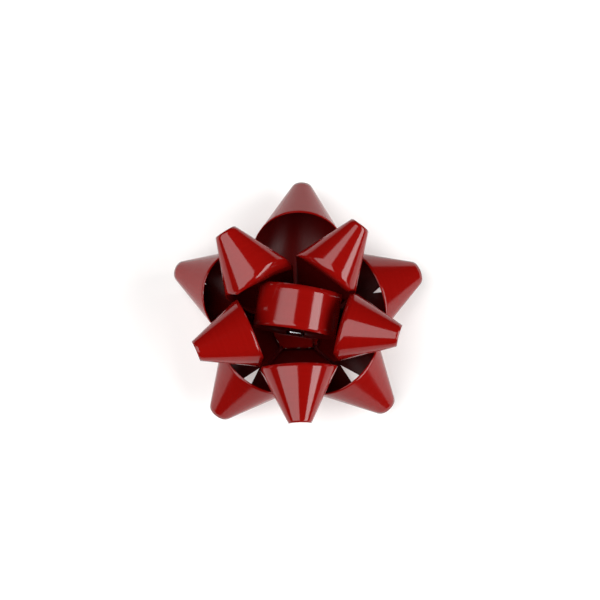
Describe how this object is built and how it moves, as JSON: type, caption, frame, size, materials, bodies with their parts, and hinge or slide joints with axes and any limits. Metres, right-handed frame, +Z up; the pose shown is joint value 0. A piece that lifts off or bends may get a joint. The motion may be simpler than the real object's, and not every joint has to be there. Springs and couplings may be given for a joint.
{
  "type": "gift bow",
  "caption": "Star-shaped gift bow of glossy film ribbon: layered cone loops around a round middle loop, stapled to a card with a peel-off adhesive back.",
  "frame": {"origin": "middle of the release liner's underside", "axes": "+Z up out of the bow, through the middle loop; +Y towards the longest lower loop"},
  "size_m": [0.0541, 0.0566, 0.0255],
  "materials": {
    "ribbon_film": "high-gloss lacquered polypropylene film",
    "ribbon_ends": "high-gloss lacquered polypropylene film, pressed flat",
    "staple_wire": "bright drawn steel wire",
    "card_board": "uncoated grey-white board",
    "foam": "closed-cell foam with pressure-sensitive adhesive",
    "liner_paper": "siliconed release paper"
  },
  "bodies": {
    "base": {"adhesive_pad": "foam", "backing_card": "card_board", "staple": "staple_wire", "lower_end_1": "ribbon_ends", "lower_end_2": "ribbon_ends", "lower_end_3": "ribbon_ends", "lower_end_4": "ribbon_ends", "lower_end_5": "ribbon_ends", "upper_end_1": "ribbon_ends", "upper_end_2": "ribbon_ends", "upper_end_3": "ribbon_ends", "upper_end_4": "ribbon_ends", "upper_end_5": "ribbon_ends"},
    "lower_loop_1": {"lower_loop_1": "ribbon_film"},
    "lower_loop_2": {"lower_loop_2": "ribbon_film"},
    "lower_loop_3": {"lower_loop_3": "ribbon_film"},
    "lower_loop_4": {"lower_loop_4": "ribbon_film"},
    "lower_loop_5": {"lower_loop_5": "ribbon_film"},
    "upper_loop_1": {"upper_loop_1": "ribbon_film"},
    "upper_loop_2": {"upper_loop_2": "ribbon_film"},
    "upper_loop_3": {"upper_loop_3": "ribbon_film"},
    "upper_loop_4": {"upper_loop_4": "ribbon_film"},
    "upper_loop_5": {"upper_loop_5": "ribbon_film"},
    "centre_loop": {"centre_loop": "ribbon_film"},
    "liner": {"release_liner": "liner_paper"}
  },
  "joints": [
    {"name": "lower_loop_1_flex", "type": "hinge", "parent": "base", "child": "lower_loop_1", "pos_m": [0.00493, 0.0022, 0.0023], "axis": [0.4067, -0.9135, 0], "range_deg": [-4, 4], "stiffness_Nm_per_rad": 0.02},
    {"name": "lower_loop_2_flex", "type": "hinge", "parent": "base", "child": "lower_loop_2", "pos_m": [0.00019, 0.0054, 0.00265], "axis": [0.9994, -0.0349, 0], "range_deg": [-4, 4], "stiffness_Nm_per_rad": 0.02},
    {"name": "lower_loop_3_flex", "type": "hinge", "parent": "base", "child": "lower_loop_3", "pos_m": [-0.00489, 0.00228, 0.003], "axis": [0.4226, 0.9063, 0], "range_deg": [-4, 4], "stiffness_Nm_per_rad": 0.02},
    {"name": "lower_loop_4_flex", "type": "hinge", "parent": "base", "child": "lower_loop_4", "pos_m": [-0.00354, -0.00408, 0.00335], "axis": [-0.7547, 0.6561, 0], "range_deg": [-4, 4], "stiffness_Nm_per_rad": 0.02},
    {"name": "lower_loop_5_flex", "type": "hinge", "parent": "base", "child": "lower_loop_5", "pos_m": [0.00395, -0.00368, 0.0037], "axis": [-0.682, -0.7314, 0], "range_deg": [-4, 4], "stiffness_Nm_per_rad": 0.02},
    {"name": "upper_loop_1_flex", "type": "hinge", "parent": "base", "child": "upper_loop_1", "pos_m": [0.00519, -0.00149, 0.00405], "axis": [-0.2756, -0.9613, 0], "range_deg": [-4.5, 2.5], "stiffness_Nm_per_rad": 0.02},
    {"name": "upper_loop_2_flex", "type": "hinge", "parent": "base", "child": "upper_loop_2", "pos_m": [0.00325, 0.00431, 0.0044], "axis": [0.7986, -0.6018, 0], "range_deg": [-4.5, 2.5], "stiffness_Nm_per_rad": 0.02},
    {"name": "upper_loop_3_flex", "type": "hinge", "parent": "base", "child": "upper_loop_3", "pos_m": [-0.00361, 0.00401, 0.00475], "axis": [0.7431, 0.6691, 0], "range_deg": [-4.5, 2.5], "stiffness_Nm_per_rad": 0.02},
    {"name": "upper_loop_4_flex", "type": "hinge", "parent": "base", "child": "upper_loop_4", "pos_m": [-0.00493, -0.0022, 0.0051], "axis": [-0.4067, 0.9135, 0], "range_deg": [-4.5, 2.5], "stiffness_Nm_per_rad": 0.02},
    {"name": "upper_loop_5_flex", "type": "hinge", "parent": "base", "child": "upper_loop_5", "pos_m": [0.00014, -0.0054, 0.00545], "axis": [-0.9997, -0.0262, 0], "range_deg": [-4.5, 2.5], "stiffness_Nm_per_rad": 0.02},
    {"name": "centre_loop_rock", "type": "hinge", "parent": "base", "child": "centre_loop", "pos_m": [0, 0, 0.0058], "axis": [0.1564, 0.9877, 0], "range_deg": [-3, 3], "stiffness_Nm_per_rad": 0.02},
    {"name": "liner_peel", "type": "slide", "parent": "base", "child": "liner", "axis": [1, 0, 0], "range_m": [0, 0.024]}
  ]
}
